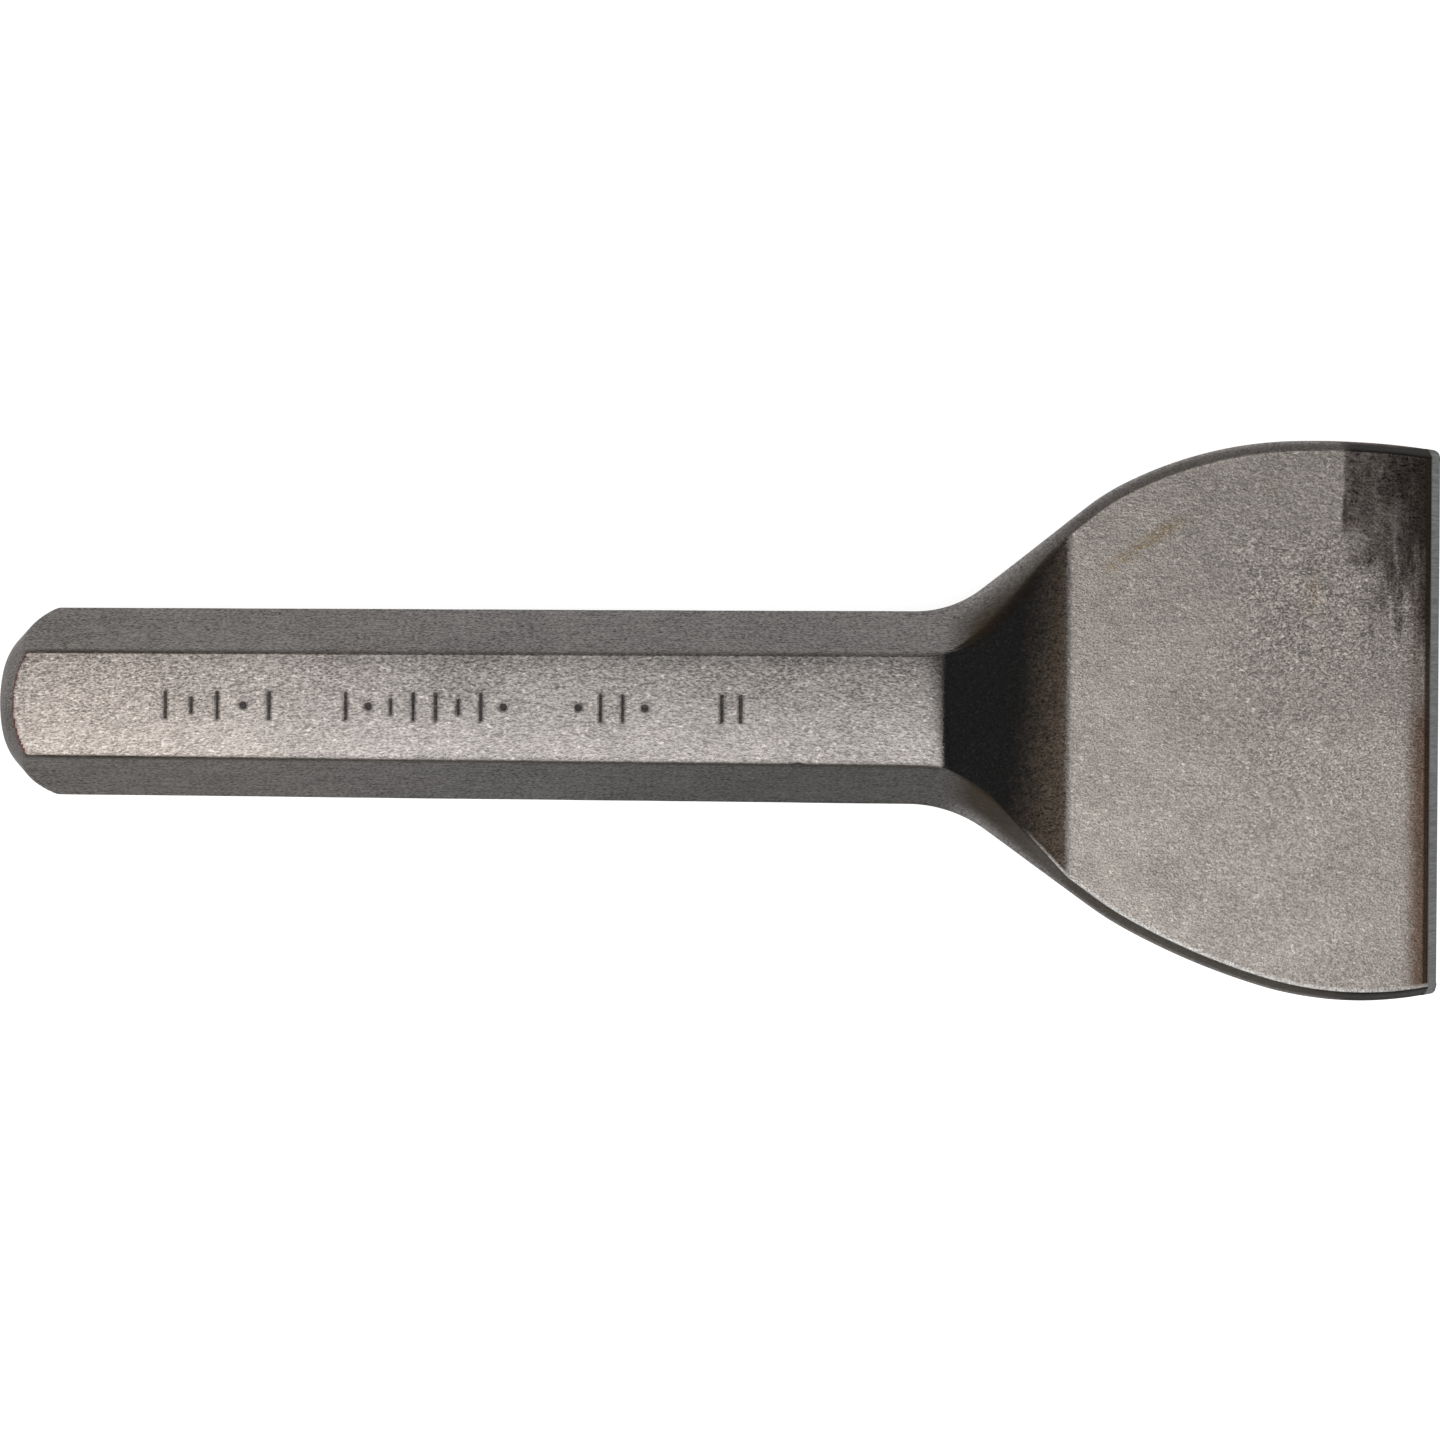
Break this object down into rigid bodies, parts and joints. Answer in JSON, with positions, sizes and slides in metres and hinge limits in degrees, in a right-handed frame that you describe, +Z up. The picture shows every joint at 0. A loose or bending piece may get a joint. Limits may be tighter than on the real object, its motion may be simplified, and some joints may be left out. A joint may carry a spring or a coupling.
{
  "type": "brick bolster chisel",
  "caption": "One-piece forged steel bolster: six-sided shank with a domed striking end, flaring to a wide thin blade with a ground cutting edge.",
  "frame": {"origin": "centre of the base of the bounding box, with the tool lying on its lower shank flat", "axes": "+X along the shank from the striking end to the cutting edge, +Y across the blade, +Z up out of the upper shank flat"},
  "size_m": [0.1968, 0.0764, 0.0204],
  "materials": {
    "forged_steel": "dull grey forging scale with darker heat-tinted neck and a ground cutting edge"
  },
  "bodies": {
    "root": {"forged_chisel": "forged_steel"}
  },
  "joints": []
}
